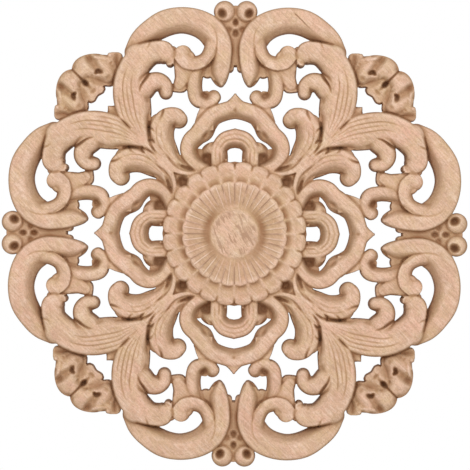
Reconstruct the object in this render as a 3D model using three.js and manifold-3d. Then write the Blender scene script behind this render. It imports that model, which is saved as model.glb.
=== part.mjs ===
// Carved wood applique: a round pierced rosette cut from one board.
// Millimetres, +Z up. The rosette stands upright: its flat back lies in the plane y = 0 and faces +Y,
// its carved face looks to -Y, and the origin is at the centre of the back.

import * as THREE from 'three';
import * as BufferGeometryUtils from 'three/addons/utils/BufferGeometryUtils.js';
import Module from 'manifold-3d';

// Driving dimensions

const DIAMETER = 300;
const THICKNESS = 20;
const PETALS = 24;
const REPEATS = 4;

// Centre, in shares of the radius

const BOSS_RADIUS = 0.103;
const BOSS_SHOULDER = 0.074;
const DISH_RADIUS = 0.224;
const DISH_COVE = 0.17;
const DISH_FOOT = 0.12;
const RIM_NOTCH = 0.213;
const PETAL_ROOT = 0.232;
const PETAL_TIP = 0.304;
const PETAL_NOTCH = 0.282;
const PETAL_SLOPE = 0.02;

// Centre, in shares of the thickness

const BOSS_CREST = 0.93;
const BOSS_BROW = 0.89;
const BOSS_EDGE = 0.79;
const DISH_RIM = 1.00;
const DISH_NOTCH = 0.95;
const DISH_WAIST = 0.74;
const FLUTE_CREST = 0.78;
const DISH_FLOOR = 0.60;
const PETAL_CREST = 0.80;
const PETAL_VALLEY = 0.58;
const PETAL_EDGE = 0.44;

// Domes, in shares of their own radius and rise

const DOME_SHOULDER = 0.66;
const DOME_BROW = 0.75;

// Facets

const END_TURN = 50;
const DOME_SIDES = 8;
const PIT_SIDES = 5;
const BOSS_SIDES = 12;
const FLATNESS = 0.2;

const RADIUS = DIAMETER / 2;
const WOOD = { color: 0xd2ab8f, roughness: 0.72, metalness: 0 };

// The pattern is one eighth, from the crown axis (x = 0) to the leaf axis (x = y), mirrored and turned.
// Every station of a band is [x, y, half width, crest]: the first three in hundredths of the radius,
// the crest in hundredths of the thickness. A band's edge height is given once.

const BANDS = {
	scroll: {
		edge: 46, steps: 10, facets: 3, round: [0, 1],
		stations: [
			[43.0, 78.0, 4.3, 62], [40.4, 82.6, 4.8, 68], [36.0, 86.6, 5.2, 72], [30, 90.2, 5.5, 75],
			[23, 91.6, 5.6, 76], [16, 90.4, 5.8, 76], [10.6, 86.9, 6.0, 76], [7.2, 81, 5.7, 76],
			[6.5, 75, 4.8, 74], [6.6, 69, 4.2, 70], [6.3, 65.2, 2.2, 60],
		],
	},
	volute: {
		edge: 46, steps: 4, facets: 2, round: [0, 1],
		stations: [
			[10.8, 80, 2.6, 66], [12.6, 75.2, 2.8, 68], [17, 73.0, 2.9, 68], [20.7, 74.1, 3.3, 70],
			[22.1, 77.0, 3.6, 72],
		],
	},
	bract: {
		edge: 36, steps: 1, facets: 2, round: [0, 1],
		stations: [[21.3, 73.6, 3.9, 58], [22.0, 67.5, 3.0, 58], [22.8, 63.4, 2.2, 50]],
	},
	hook: {
		edge: 46, steps: 5, facets: 2, round: [0, 1],
		stations: [
			[15.2, 71.5, 2.4, 54], [17.0, 67, 2.9, 64], [17.4, 62, 3.1, 68], [16.2, 58, 3.3, 68],
			[12.4, 56.0, 2.7, 66], [9.5, 58.2, 3.1, 64],
		],
	},
	ogee: {
		edge: 46, steps: 8, facets: 3, round: [0, 0],
		stations: [
			[-0.5, 54.4, 4.2, 68], [1.0, 54.3, 4.2, 68], [4.5, 53.0, 4.0, 68], [9.2, 50.6, 3.9, 68],
			[13.2, 45.8, 4.1, 68], [15.9, 42.9, 3.9, 68], [18.7, 39.7, 3.9, 68], [19.9, 36.2, 3.6, 68],
			[18.8, 32.4, 3.2, 68], [16, 29.6, 2.8, 66], [10.2, 27.2, 2.6, 60],
		],
	},
	horseshoe: {
		edge: 46, steps: 4, facets: 2, round: [0, 0],
		stations: [
			[-0.5, 41.3, 3.9, 64], [1.0, 41.2, 3.9, 64], [4, 40.0, 3.7, 64], [6.9, 36.8, 3.3, 64],
			[7.1, 32.6, 3.5, 64], [6.4, 27.0, 3.5, 60],
		],
	},
	leaf: {
		edge: 46, steps: 9, facets: 2, round: [0, 1],
		stations: [
			[24.5, 25.5, 1.6, 84], [30, 31, 3.2, 90], [35.4, 37.2, 4.4, 94], [39.6, 44, 5.7, 94],
			[42.9, 51, 7.3, 94], [44.4, 58, 7.8, 92], [45.1, 64, 7.0, 90], [44.3, 69.5, 6.2, 88],
			[42.2, 74.3, 6.1, 86], [37.6, 77.0, 5.4, 84], [33.5, 77.7, 5.0, 80], [30.6, 77.3, 4.5, 76],
		],
	},
	fold: {
		edge: 46, steps: 4, facets: 2, round: [0, 1],
		stations: [
			[42, 56, 3, 78], [39.6, 61.3, 4.6, 82], [36.5, 64.3, 4.2, 80], [33, 65, 3.95, 78],
			[30.5, 63.4, 3.4, 74], [29.8, 60.4, 2.75, 68],
		],
	},
	lobe: {
		edge: 46, steps: 6, facets: 2, round: [0, 1],
		stations: [
			[17.6, 26.3, 0.9, 62], [21.5, 28.3, 1.7, 68], [25.3, 31.2, 2.6, 72], [28.7, 35.2, 4.2, 80],
			[31.2, 40, 5.0, 84], [31.7, 45.2, 5.3, 84], [29.9, 48.7, 5.0, 80], [26.4, 49.7, 4.3, 76],
			[24.3, 49.0, 3.7, 72],
		],
	},
	petal: {
		edge: 34, steps: 4, facets: 2, round: [0, 0],
		stations: [
			[50.4, 67.5, 2.6, 56], [52.8, 71.7, 3.3, 60], [57, 73.6, 3.4, 60], [61.7, 73.5, 3.6, 60],
			[65.6, 71.0, 3.7, 60], [66.6, 67.6, 3.2, 54],
		],
	},
	heart: {
		edge: 40, steps: 1, facets: 2, round: [1, 0],
		stations: [[58.0, 61.0, 2.4, 54], [62.5, 62.5, 3.4, 60]],
	},
};

// Flat-topped webs that join the bands low down: [x, y, half width] and one height.

const WEBS = {
	tipWeb: { top: 28, steps: 1, stations: [[12, 74, 3.0], [11.9, 66.9, 2.7]] },
	bractWeb: { top: 28, steps: 1, stations: [[22.5, 63.2, 2.7], [30, 63.2, 2.7]] },
	bractJoint: { top: 34, steps: 2, stations: [[26.0, 78.6, 1.9], [24.8, 74.5, 2.7], [25.6, 69.2, 1.7]] },
	hookJoint: { top: 40, steps: 1, stations: [[8.4, 55.2, 3.0], [16.0, 51.9, 2.0]] },
	slit: { top: 34, steps: 1, stations: [[37.4, 68.4, 1.8], [40.6, 62.5, 2.0]] },
	curl: { top: 52, steps: 1, round: [0, 1], stations: [[7.4, 37.4, 2.6], [12.0, 35.2, 1.6]] },
	eye: { top: 30, steps: 2, stations: [[15.6, 36.2, 1.9], [14.2, 32.2, 2.8], [8.6, 31.0, 2.8]] },
	hollow: { top: 30, steps: 1, stations: [[24, 32.4, 1.8], [14.2, 24.0, 4.4]] },
	budWeb: { top: 34, steps: 1, stations: [[53.5, 67.6, 3.6], [64.5, 67.0, 4.6]] },
	side: { top: 40, steps: 1, round: [1, 0], stations: [[50.5, 75.0, 2.8], [50.6, 68.5, 3.0]] },
};

// The same, for those that lie on a mirror axis and so come once a quarter.

const AXIS_WEBS = {
	crown: { top: 28, steps: 2, stations: [[0, 93.6, 7.4], [0, 88.0, 7.2], [0, 70.4, 3.4]] },
	tip: { top: 58, steps: 1, round: [0, 1], stations: [[0, 54, 3.2], [0, 58.9, 1.8]] },
	nub: { top: 34, steps: 1, round: [0, 1], stations: [[47.0, 47.0, 2.6], [52.8, 52.8, 2.8]] },
	budHeart: { top: 40, steps: 1, stations: [[59.5, 59.5, 4.6], [68.0, 68.0, 4.0]] },
	stem: { top: 60, steps: 1, stations: [[19.0, 19.0, 5.5], [29.0, 29.0, 3.4]] },
};

// Domes: [x, y, radius, edge, crest].

const DOMES = {
	bead: [5.15, 94.9, 4.85, 26, 66],
};

// Pits sunk from the face: [x, y, radius at the mouth, floor, mouth].

const PITS = {
	beadPit: [5.9, 94.4, 1.9, 30, 64],
};

const AXIS_PITS = {
	stemPit: [21.9, 21.9, 1.9, 20, 60],
	petalPit: [65.2, 65.2, 1.9, 12, 46],
};

const ACROSS = RADIUS / 100;
const UP = THICKNESS / 100;

// In hundredths of the thickness: every member is first made this deep below the back and planed off
// with the rest, and every pit is open up to this height over the face.

const SUNK = - 20;
const CLEAR = 120;

let wasm = null;

/** Turns a three.js geometry into a solid whose shared vertices are merged. */
function solidOf( geometry ) {

	const bare = geometry.clone();
	bare.deleteAttribute( 'normal' );
	bare.deleteAttribute( 'uv' );
	const merged = BufferGeometryUtils.mergeVertices( bare, 1e-4 );
	return new wasm.Manifold( new wasm.Mesh( {
		numProp: 3,
		vertProperties: Float32Array.from( merged.attributes.position.array ),
		triVerts: Uint32Array.from( merged.index.array ),
		tolerance: FLATNESS,
	} ) );

}

/** Reads a solid back as a three.js geometry. */
function geometryOf( solid ) {

	const mesh = solid.getMesh();
	const geometry = new THREE.BufferGeometry();
	geometry.setAttribute( 'position', new THREE.BufferAttribute( Float32Array.from( mesh.vertProperties ), 3 ) );
	geometry.setIndex( new THREE.BufferAttribute( Uint32Array.from( mesh.triVerts ), 1 ) );
	return geometry;

}

/** The same shape on the other side of the crown axis, with its faces turned back outwards. */
function mirrored( geometry ) {

	const other = geometry.clone().applyMatrix4( new THREE.Matrix4().makeScale( - 1, 1, 1 ) );
	const index = other.index.array;
	for ( let i = 0; i < index.length; i += 3 ) {

		[ index[ i ], index[ i + 1 ] ] = [ index[ i + 1 ], index[ i ] ];

	}

	return other;

}

function joined( solids ) {

	return solids.reduce( ( sum, solid ) => sum.add( solid ) );

}

/** One quarter of the pattern, turned round the middle. */
function allRound( quarter ) {

	const shape = geometryOf( quarter );
	const turns = [];
	for ( let i = 0; i < REPEATS; i ++ ) {

		turns.push( solidOf( shape.clone().rotateZ( Math.PI * 2 / REPEATS * i ) ) );

	}

	return joined( turns );

}

/** An eighth and its mirror image, with what lies on the axes between them. */
function quarterOf( eighth, axial ) {

	const shape = geometryOf( joined( eighth ) );
	return joined( [ solidOf( shape ), solidOf( mirrored( shape ) ), ...axial ] );

}

/** The slices that a band is made of, with a rounded end where it has one. */
function slicesOf( { stations, steps, round = [ 0, 0 ] } ) {

	const places = stations.map( ( [ x, y ] ) => new THREE.Vector3( x, y, 0 ) );
	const curve = new THREE.CatmullRomCurve3( places, false, 'centripetal' );
	const last = stations.length - 1;
	const at = ( share, shift, swell ) => {

		const t = curve.getUtoTmapping( share );
		const cell = Math.min( Math.floor( t * last ), last - 1 );
		const [ from, to ] = [ stations[ cell ], stations[ cell + 1 ] ];
		const half = THREE.MathUtils.lerp( from[ 2 ], to[ 2 ], t * last - cell );
		const crest = THREE.MathUtils.lerp( from[ 3 ], to[ 3 ], t * last - cell );
		const heading = curve.getTangent( t );
		const point = curve.getPoint( t ).addScaledVector( heading, half * shift );
		return { point, heading, half: half * swell, crest, swell };

	};

	const turn = THREE.MathUtils.degToRad( END_TURN );
	const slices = [];
	if ( round[ 0 ] ) slices.push( at( 0, - Math.sin( turn ), Math.cos( turn ) ) );
	for ( let i = 0; i <= steps; i ++ ) slices.push( at( i / steps, 0, 1 ) );
	if ( round[ 1 ] ) slices.push( at( 1, Math.sin( turn ), Math.cos( turn ) ) );
	return slices;

}

/** Bends a box along the slices. Its columns follow the section, and heightAt shapes its top. */
function sweepOf( band, facets, heightAt ) {

	const slices = slicesOf( band );
	const box = new THREE.BoxGeometry( 2, 1, 1, facets, 1, slices.length - 1 );
	const position = box.attributes.position;
	for ( let i = 0; i < position.count; i ++ ) {

		const slice = slices[ Math.round( ( position.getZ( i ) + 0.5 ) * ( slices.length - 1 ) ) ];
		const across = position.getX( i );
		const reach = across * slice.half;
		const height = position.getY( i ) > 0 ? heightAt( slice, across ) : SUNK;
		position.setXYZ(
			i,
			( slice.point.x - slice.heading.y * reach ) * ACROSS,
			( slice.point.y + slice.heading.x * reach ) * ACROSS,
			height * UP,
		);

	}

	return solidOf( box );

}

/** A band rounded over from edge to edge. */
function bandOf( band ) {

	return sweepOf( band, band.facets, ( slice, across ) => {

		const bulge = Math.sqrt( 1 - across * across );
		return band.edge + ( slice.crest - band.edge ) * bulge * slice.swell;

	} );

}

function webOf( web ) {

	return sweepOf( web, 1, () => web.top );

}

/** A round body, turned about its own upright axis. Its profile starts and ends on that axis. */
function turnedOf( x, y, profile, sides ) {

	const points = profile.map( ( [ r, z ] ) => new THREE.Vector2( r * ACROSS, z * UP ) );
	const lathe = new THREE.LatheGeometry( points, sides );
	lathe.rotateX( Math.PI / 2 );
	lathe.translate( x * ACROSS, y * ACROSS, 0 );
	return solidOf( lathe );

}

function domeOf( [ x, y, radius, edge, crest ] ) {

	const shoulder = [ radius * DOME_SHOULDER, edge + ( crest - edge ) * DOME_BROW ];
	return turnedOf( x, y, [[ 0, SUNK ], [ radius, SUNK ], [ radius, edge ], shoulder, [ 0, crest ]], DOME_SIDES );

}

function pitOf( [ x, y, radius, floor, mouth ] ) {

	return turnedOf( x, y, [[ 0, floor ], [ radius, mouth ], [ radius, CLEAR ], [ 0, CLEAR ]], PIT_SIDES );

}

/** A turned body whose radius and height swing between a crest and a notch round the rim. */
function scallopedOf( rings, perPetal ) {

	const sides = PETALS * perPetal;
	const profile = rings.map( ( [ crest ] ) => new THREE.Vector2( crest[ 0 ], 0 ) );
	const lathe = new THREE.LatheGeometry( profile, sides );
	const position = lathe.attributes.position;
	for ( let i = 0; i < position.count; i ++ ) {

		const side = Math.floor( i / rings.length );
		const [ crest, notch ] = rings[ i % rings.length ];
		const [ radius, height ] = side % perPetal === 0 ? notch : crest;
		const turn = ( side % sides ) / sides * Math.PI * 2;
		position.setXYZ(
			i,
			Math.sin( turn ) * radius * RADIUS,
			height * THICKNESS,
			Math.cos( turn ) * radius * RADIUS,
		);

	}

	lathe.rotateX( Math.PI / 2 );
	return solidOf( lathe );

}

/** The boss, the fluted dish with its scalloped rim, and the ring of petals round it. */
function centreOf() {

	const below = SUNK / 100;
	const petals = scallopedOf( [
		[[ 0, below ], [ 0, below ]],
		[[ PETAL_TIP, below ], [ PETAL_NOTCH, below ]],
		[[ PETAL_TIP, PETAL_EDGE ], [ PETAL_NOTCH, PETAL_EDGE ]],
		[[ PETAL_TIP - PETAL_SLOPE, PETAL_CREST ], [ PETAL_NOTCH, PETAL_VALLEY ]],
		[[ PETAL_ROOT + PETAL_SLOPE, PETAL_CREST ], [ PETAL_ROOT + PETAL_SLOPE, PETAL_VALLEY ]],
		[[ PETAL_ROOT, PETAL_VALLEY ], [ PETAL_ROOT, PETAL_VALLEY ]],
		[[ 0, PETAL_VALLEY ], [ 0, PETAL_VALLEY ]],
	], 3 );
	const dish = scallopedOf( [
		[[ 0, below ], [ 0, below ]],
		[[ DISH_RADIUS, below ], [ RIM_NOTCH, below ]],
		[[ DISH_RADIUS, DISH_RIM ], [ RIM_NOTCH, DISH_NOTCH ]],
		[[ DISH_COVE, DISH_WAIST ], [ DISH_COVE, FLUTE_CREST ]],
		[[ DISH_FOOT, DISH_FLOOR ], [ DISH_FOOT, DISH_FLOOR ]],
		[[ 0, DISH_FLOOR ], [ 0, DISH_FLOOR ]],
	], 2 );
	const boss = turnedOf( 0, 0, [
		[ 0, SUNK ],
		[ BOSS_RADIUS * 100, SUNK ],
		[ BOSS_RADIUS * 100, BOSS_EDGE * 100 ],
		[ BOSS_SHOULDER * 100, BOSS_BROW * 100 ],
		[ 0, BOSS_CREST * 100 ],
	], BOSS_SIDES );
	return joined( [ petals, dish, boss ] );

}

wasm = await Module();
wasm.setup();

const eighth = [
	...Object.values( BANDS ).map( bandOf ),
	...Object.values( WEBS ).map( webOf ),
	...Object.values( DOMES ).map( domeOf ),
];
const relief = allRound( quarterOf( eighth, Object.values( AXIS_WEBS ).map( webOf ) ) );
const sunk = allRound( quarterOf( Object.values( PITS ).map( pitOf ), Object.values( AXIS_PITS ).map( pitOf ) ) );
const waste = new THREE.BoxGeometry( DIAMETER * 2, DIAMETER * 2, THICKNESS );
waste.translate( 0, 0, - THICKNESS / 2 );
const carved = relief.add( centreOf() ).subtract( sunk ).subtract( solidOf( waste ) );

const surface = geometryOf( carved );
surface.computeVertexNormals();

const rosette = new THREE.Mesh( surface, new THREE.MeshStandardMaterial( WOOD ) );
rosette.name = 'carved_rosette';

const group = new THREE.Group();
group.rotation.x = Math.PI / 2;
group.add( rosette );

export default group;
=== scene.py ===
"""Carved wood applique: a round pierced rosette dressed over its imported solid. Metres, +Z up, face to -Y."""

import logging
import math
from dataclasses import dataclass, field
from enum import Enum

import bpy
import numpy as np
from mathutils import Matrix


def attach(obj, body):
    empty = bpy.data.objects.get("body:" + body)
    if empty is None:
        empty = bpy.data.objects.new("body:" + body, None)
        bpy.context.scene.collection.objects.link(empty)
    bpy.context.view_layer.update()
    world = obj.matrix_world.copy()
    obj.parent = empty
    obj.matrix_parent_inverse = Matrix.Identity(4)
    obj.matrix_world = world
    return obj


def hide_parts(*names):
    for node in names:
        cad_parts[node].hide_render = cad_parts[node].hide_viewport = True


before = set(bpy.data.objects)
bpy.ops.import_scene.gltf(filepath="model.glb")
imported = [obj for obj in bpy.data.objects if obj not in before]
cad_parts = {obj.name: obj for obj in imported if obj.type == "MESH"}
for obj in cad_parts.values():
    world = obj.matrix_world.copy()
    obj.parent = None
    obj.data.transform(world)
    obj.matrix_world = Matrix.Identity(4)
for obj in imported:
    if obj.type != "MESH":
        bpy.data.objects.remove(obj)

log = logging.getLogger("rosette")

NODE = "carved_rosette"
SLOT = "raw_wood"
RADIUS = 0.150
THICKNESS = 0.020

Grid = np.ndarray
Pair = tuple[float, float]
Colour = tuple[float, float, float]
Station = tuple[float, float, float, float]
Profile = tuple[tuple[float, ...], tuple[float, ...]]
Socket = bpy.types.NodeSocket
Piece = bpy.types.Object


# Curves and blends


def smooth_curve(points: Grid, per_span: int) -> Grid:
    """Runs a rounded line through a row of points.

    Args:
        points: One row for each point, with any further columns blended along.
        per_span: How many places each stretch between two points gets.

    Returns:
        The places along the line, in order.
    """
    padded = np.vstack([2 * points[0] - points[1], points, 2 * points[-1] - points[-2]])
    share = np.linspace(0.0, 1.0, per_span, endpoint=False)[:, None]
    spans = []
    for i in range(1, len(padded) - 2):
        before, start, end, after = padded[i - 1 : i + 3]
        lead, trail = (end - before) / 2, (after - start) / 2
        spans.append(
            (2 * start - 2 * end + lead + trail) * share**3
            + (3 * end - 3 * start - 2 * lead - trail) * share**2
            + lead * share
            + start
        )
    spans.append(padded[-2][None])
    return np.vstack(spans)


def ease(low: float, high: float, value: Grid) -> Grid:
    """Rises softly from 0 where the value is low to 1 where it is high."""
    share = np.clip((value - low) / (high - low), 0.0, 1.0)
    return share * share * (3.0 - 2.0 * share)


def bell(value: Grid, middle: float, width: float) -> Grid:
    """Peaks at 1 in the middle and fades to each side over the width."""
    return np.exp(-(((value - middle) / width) ** 2))


def softened(grid: Grid, sigma: float) -> Grid:
    """Blurs a square grid by so many cells."""
    reach = int(math.ceil(3 * sigma))
    weights = np.exp(-0.5 * (np.arange(-reach, reach + 1) / sigma) ** 2)
    weights /= weights.sum()
    for axis in (0, 1):
        grid = sum(w * np.roll(grid, k, axis) for k, w in zip(range(-reach, reach + 1), weights))
    return grid


# Members of the pattern: plan in hundredths of the radius, heights in hundredths of the thickness

HUNDREDTH = RADIUS / 100
RISE_PER_REACH = THICKNESS / RADIUS
MARGIN = 1.2
BAND_STEPS = 8
CUT_STEPS = 6
VEIN_FADE_IN = 0.08
VEIN_FADE_OUT = 0.12
GROOVE_POWER = 1.4
KNOB_POWER = 2.6
FAR = 1e9
TINY = 1e-12


def near_line(line: Grid, pad: float, x: Grid, y: Grid) -> Grid:
    """Numbers the places in the box round a line, widened by a pad."""
    low, high = line[:, :2].min(0) - pad, line[:, :2].max(0) + pad
    return np.flatnonzero((x > low[0]) & (x < high[0]) & (y > low[1]) & (y < high[1]))


class Section(Enum):
    """A band's profile: places across it from its right edge to its left, and shares of its crest there."""

    ROUND = ((-1.0, -0.92, -0.76, 0.0, 0.76, 0.92, 1.0), (0.8, 0.91, 0.98, 1.0, 0.98, 0.91, 0.8))
    SCROLL = (
        (-1.0, -0.93, -0.8, -0.4, 0.05, 0.26, 0.5, 0.74, 1.0),
        (0.84, 0.93, 0.98, 1.0, 0.99, 0.95, 0.84, 0.66, 0.47),
    )
    VOLUTE = ((-1.0, -0.5, 0.0, 0.45, 0.75, 1.0), (0.98, 1.0, 0.99, 0.92, 0.8, 0.64))
    HOOK = ((-1.0, -0.8, -0.45, -0.1, 0.3, 0.65, 0.88, 1.0), (0.52, 0.66, 0.88, 0.98, 1.0, 0.97, 0.91, 0.8))
    OGEE = ((-1.0, -0.78, -0.48, -0.15, 0.25, 0.7, 0.9, 1.0), (0.44, 0.6, 0.86, 0.98, 1.0, 0.98, 0.92, 0.8))
    ARCH = ((-1.0, -0.8, -0.5, -0.15, 0.3, 0.7, 0.9, 1.0), (0.44, 0.6, 0.86, 0.98, 1.0, 0.98, 0.9, 0.74))
    LEAF = (
        (-1.0, -0.93, -0.8, -0.4, 0.0, 0.4, 0.65, 0.85, 1.0),
        (0.82, 0.92, 0.97, 1.0, 0.99, 0.96, 0.89, 0.77, 0.62),
    )
    FOLD = ((-1.0, -0.9, -0.7, -0.3, 0.15, 0.5, 0.8, 1.0), (0.7, 0.84, 0.94, 1.0, 0.99, 0.93, 0.81, 0.64))
    LOBE = (
        (-1.0, -0.92, -0.76, -0.4, 0.05, 0.4, 0.68, 1.0),
        (0.84, 0.93, 0.98, 1.0, 0.97, 0.88, 0.71, 0.48),
    )
    DOME = (
        (-1.0, -0.85, -0.6, -0.3, 0.0, 0.3, 0.6, 0.85, 1.0),
        (0.62, 0.76, 0.89, 0.97, 1.0, 0.97, 0.89, 0.76, 0.62),
    )
    FLAT = ((-1.0, 1.0), (1.0, 1.0))

    def share(self, across: Grid) -> Grid:
        """Reads the section at places across the band."""
        knots = smooth_curve(np.array(self.value).T, BAND_STEPS)
        return np.interp(across, knots[:, 0], knots[:, 1])


@dataclass(frozen=True)
class Vein:
    """A groove along a band: its place across, its start and end along, its half width and its depth."""

    across: float
    start: float
    end: float
    half: float
    depth: float


@dataclass(frozen=True)
class Band:
    """A carved strap along a line of stations x, y, half width and crest.

    Where it curls it is as wide as its widest reach. A pointed one is straight and tapers as its stations say.
    """

    stations: tuple[Station, ...]
    section: Section = Section.ROUND
    trench: float = 0.0
    veins: tuple[Vein, ...] = ()
    pointed: bool = False

    def lay(self, x: Grid, y: Grid) -> tuple[Grid, Grid, Grid, Grid]:
        """Lays the band over the face.

        Args:
            x: Places across.
            y: Places up.

        Returns:
            The places it touches, how far each lies inside its edge, its height there and its crest.
        """
        line = smooth_curve(np.array(self.stations, dtype=float), BAND_STEPS)
        touched = near_line(line, line[:, 2].max() + MARGIN, x, y)
        px, py = x[touched], y[touched]
        gap, inside = np.full(px.shape, FAR), np.full(px.shape, -FAR)
        side, half, crest, along = (np.zeros(px.shape) for _ in range(4))
        run = np.hypot(np.diff(line[:, 0]), np.diff(line[:, 1]))
        gone = np.concatenate([[0.0], np.cumsum(run)])
        for i in range(len(line) - 1):
            (ax, ay, ah, ac), (bx, by, bh, bc) = line[i], line[i + 1]
            dx, dy = bx - ax, by - ay
            share = np.clip(((px - ax) * dx + (py - ay) * dy) / (run[i] ** 2 + TINY), 0.0, 1.0)
            ex, ey = px - ax - share * dx, py - ay - share * dy
            distance = np.hypot(ex, ey)
            reach = ah + share * (bh - ah)
            near = distance < gap
            gap = np.where(near, distance, gap)
            lateral = (dx * ey - dy * ex) / (run[i] * np.maximum(distance, 1e-6) + TINY)
            side = np.where(near, np.clip(lateral, -1.0, 1.0), side)
            inside = np.maximum(inside, reach - distance)
            half = np.where(near, reach, half)
            crest = np.where(near, ac + share * (bc - ac), crest)
            along = np.where(near, (gone[i] + share * run[i]) / gone[-1], along)
        out = np.minimum(gap / half, 1.0)
        left, right = self.section.share(out), self.section.share(-out)
        height = crest * (right + (left - right) * (1.0 + side) / 2.0)
        for vein in self.veins:
            cut = np.clip(1.0 - np.abs(out * side - vein.across) / vein.half, 0.0, 1.0)
            fade = ease(vein.start, vein.start + VEIN_FADE_IN, along)
            fade = fade * (1.0 - ease(vein.end - VEIN_FADE_OUT, vein.end, along))
            height = height - vein.depth * cut**GROOVE_POWER * fade
        return touched, half - gap if self.pointed else inside, height, crest


def web(*stations: Station) -> Band:
    """Makes a tie between members, level across."""
    return Band(stations, Section.FLAT)


@dataclass(frozen=True)
class Ball:
    """A round knob: its place, radius, edge height and crest."""

    x: float
    y: float
    radius: float
    edge: float
    crest: float
    trench: float = 0.0

    def lay(self, x: Grid, y: Grid) -> tuple[Grid, Grid, Grid, Grid]:
        """Lays the knob over the face and gives what a band's lay gives."""
        gap = np.hypot(x - self.x, y - self.y)
        touched = np.flatnonzero(gap < self.radius + MARGIN)
        gap = gap[touched]
        bulge = np.clip(1.0 - (gap / self.radius) ** KNOB_POWER, 0.0, 1.0) ** 0.5
        height = self.edge + (self.crest - self.edge) * bulge
        return touched, self.radius - gap, height, np.full(gap.shape, self.crest)


@dataclass(frozen=True)
class Pit:
    """A hole sunk from the face, drawn out along a line turned by so many degrees, level out to its flat share."""

    x: float
    y: float
    radius: float
    depth: float
    stretch: float = 1.0
    turn: float = 0.0
    flat: float = 0.0

    def sink(self, x: Grid, y: Grid) -> Grid:
        """Says how deep the hole is at each place."""
        c, s = math.cos(math.radians(self.turn)), math.sin(math.radians(self.turn))
        u = (c * (x - self.x) + s * (y - self.y)) / self.stretch
        v = c * (y - self.y) - s * (x - self.x)
        return self.depth * (1.0 - ease(self.flat, 1.0, np.hypot(u, v) / self.radius))


@dataclass(frozen=True)
class Cut:
    """A free groove along stations x, y, half width and depth."""

    stations: tuple[Station, ...]

    def sink(self, x: Grid, y: Grid) -> Grid:
        """Says how deep the groove is at each place.

        Args:
            x: Places across.
            y: Places up.

        Returns:
            The depth.
        """
        line = smooth_curve(np.array(self.stations, dtype=float), CUT_STEPS)
        touched = near_line(line, line[:, 2].max(), x, y)
        px, py = x[touched], y[touched]
        depths = np.zeros(x.shape)
        for (ax, ay, ah, ad), (bx, by, bh, bd) in zip(line[:-1], line[1:]):
            dx, dy = bx - ax, by - ay
            share = np.clip(((px - ax) * dx + (py - ay) * dy) / (dx * dx + dy * dy + TINY), 0.0, 1.0)
            gap = np.hypot(px - ax - share * dx, py - ay - share * dy) / (ah + share * (bh - ah))
            depth = (ad + share * (bd - ad)) * np.clip(1.0 - gap, 0.0, 1.0) ** GROOVE_POWER
            depths[touched] = np.maximum(depths[touched], depth)
        return depths


WEBS = (
    web((0, 93.4, 3.0, 58), (0, 91, 6.6, 55), (0, 88, 5.6, 52), (0, 85, 4.2, 52), (0, 78, 3.0, 53),
        (0, 75.0, 3.4, 52)),
    web((2.6, 75.0, 2.0, 53), (2.5, 70.8, 1.6, 52)),
    web((37.0, 51.2, 0.9, 68), (37.4, 47, 1.3, 73), (37.0, 43.0, 1.5, 77)),
    web((12, 74, 3.0, 48), (11.9, 69.8, 3.0, 47)),
    web((20.8, 67, 2.2, 54), (21.6, 64.6, 2.0, 52), (22.8, 62.5, 1.8, 50), (27.4, 62.6, 1.6, 50)),
    Band(((26.8, 78.6, 1.6, 72), (27.7, 75.2, 1.7, 79), (27.9, 73.0, 1.7, 76))),
    web((12.6, 53.2, 2.4, 63), (14.4, 50.8, 1.8, 59), (15.9, 47.8, 1.3, 57)),
    web((12.2, 59.8, 1.3, 44), (14.4, 59.4, 1.4, 44)),
    web((38.6, 66.4, 2.2, 28), (40, 64, 2.0, 40)),
    web((15.2, 34.4, 1.9, 30), (14.2, 32.4, 2.6, 30), (11.2, 32.0, 2.6, 34)),
    web((23.2, 31.8, 1.8, 62), (20, 28.6, 2.2, 65), (17.5, 26.6, 2.4, 67)),
    web((53.6, 65.2, 2.2, 40), (57.5, 65.2, 2.3, 42), (60.5, 63.6, 3.0, 42), (63.0, 63.0, 5.0, 44)),
    web((50.6, 75.3, 2.2, 52), (52.6, 75.6, 1.9, 58)),
    web((50.2, 74.0, 2.2, 50), (51.6, 69.5, 2.2, 54)),
    web((51.8, 74.2, 2.4, 50), (54.6, 73.4, 1.6, 56)),
    web((48.6, 48.6, 2.4, 52), (51.8, 51.8, 2.8, 58)),
    web((19.0, 19.0, 5.5, 58), (22.5, 22.5, 4.0, 60), (27.0, 27.0, 3.6, 66)),
    web((0, 30.0, 0.9, 58), (2.2, 29.6, 0.9, 58)),
    web((13.4, 26.6, 2.2, 58), (16.2, 26.0, 2.2, 62), (18.8, 25.0, 1.7, 68)),
)

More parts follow.
